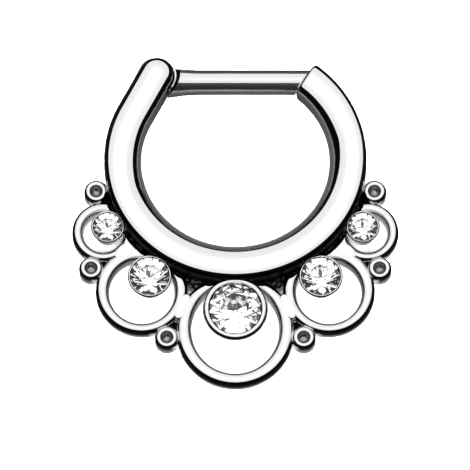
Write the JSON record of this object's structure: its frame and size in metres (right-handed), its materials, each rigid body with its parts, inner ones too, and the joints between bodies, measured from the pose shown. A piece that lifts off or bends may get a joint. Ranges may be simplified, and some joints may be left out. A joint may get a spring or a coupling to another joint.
{
  "type": "hinged septum ring",
  "caption": "Hinged ring for a pierced septum: a straight bar pivots in the open side, and a cast lace of loops, discs and clear stones hangs below.",
  "frame": {"origin": "middle of the underside of the whole part, which lies on its flat back", "axes": "+X across the nose to the viewer's right, +Y up the face from the lace to the bar, +Z out of the front face"},
  "size_m": [0.0158, 0.0164, 0.0018],
  "materials": {
    "polished_steel": "mirror polish on cast steel",
    "bar_steel": "drawn wire, lightly polished",
    "clear_stone": "cut and polished, with a foil back"
  },
  "bodies": {
    "casting": {"cast_frame": "polished_steel", "hinge_pin": "bar_steel", "centre_stone": "clear_stone", "left_mid_stone": "clear_stone", "right_mid_stone": "clear_stone", "left_small_stone": "clear_stone", "right_small_stone": "clear_stone"},
    "bar": {"hinge_bar": "bar_steel"}
  },
  "joints": [
    {"name": "bar_hinge", "type": "hinge", "parent": "casting", "child": "bar", "pos_m": [-0.00394, 0.00733, 0.0009], "axis": [0, 0, 1], "range_deg": [0, 100]}
  ]
}
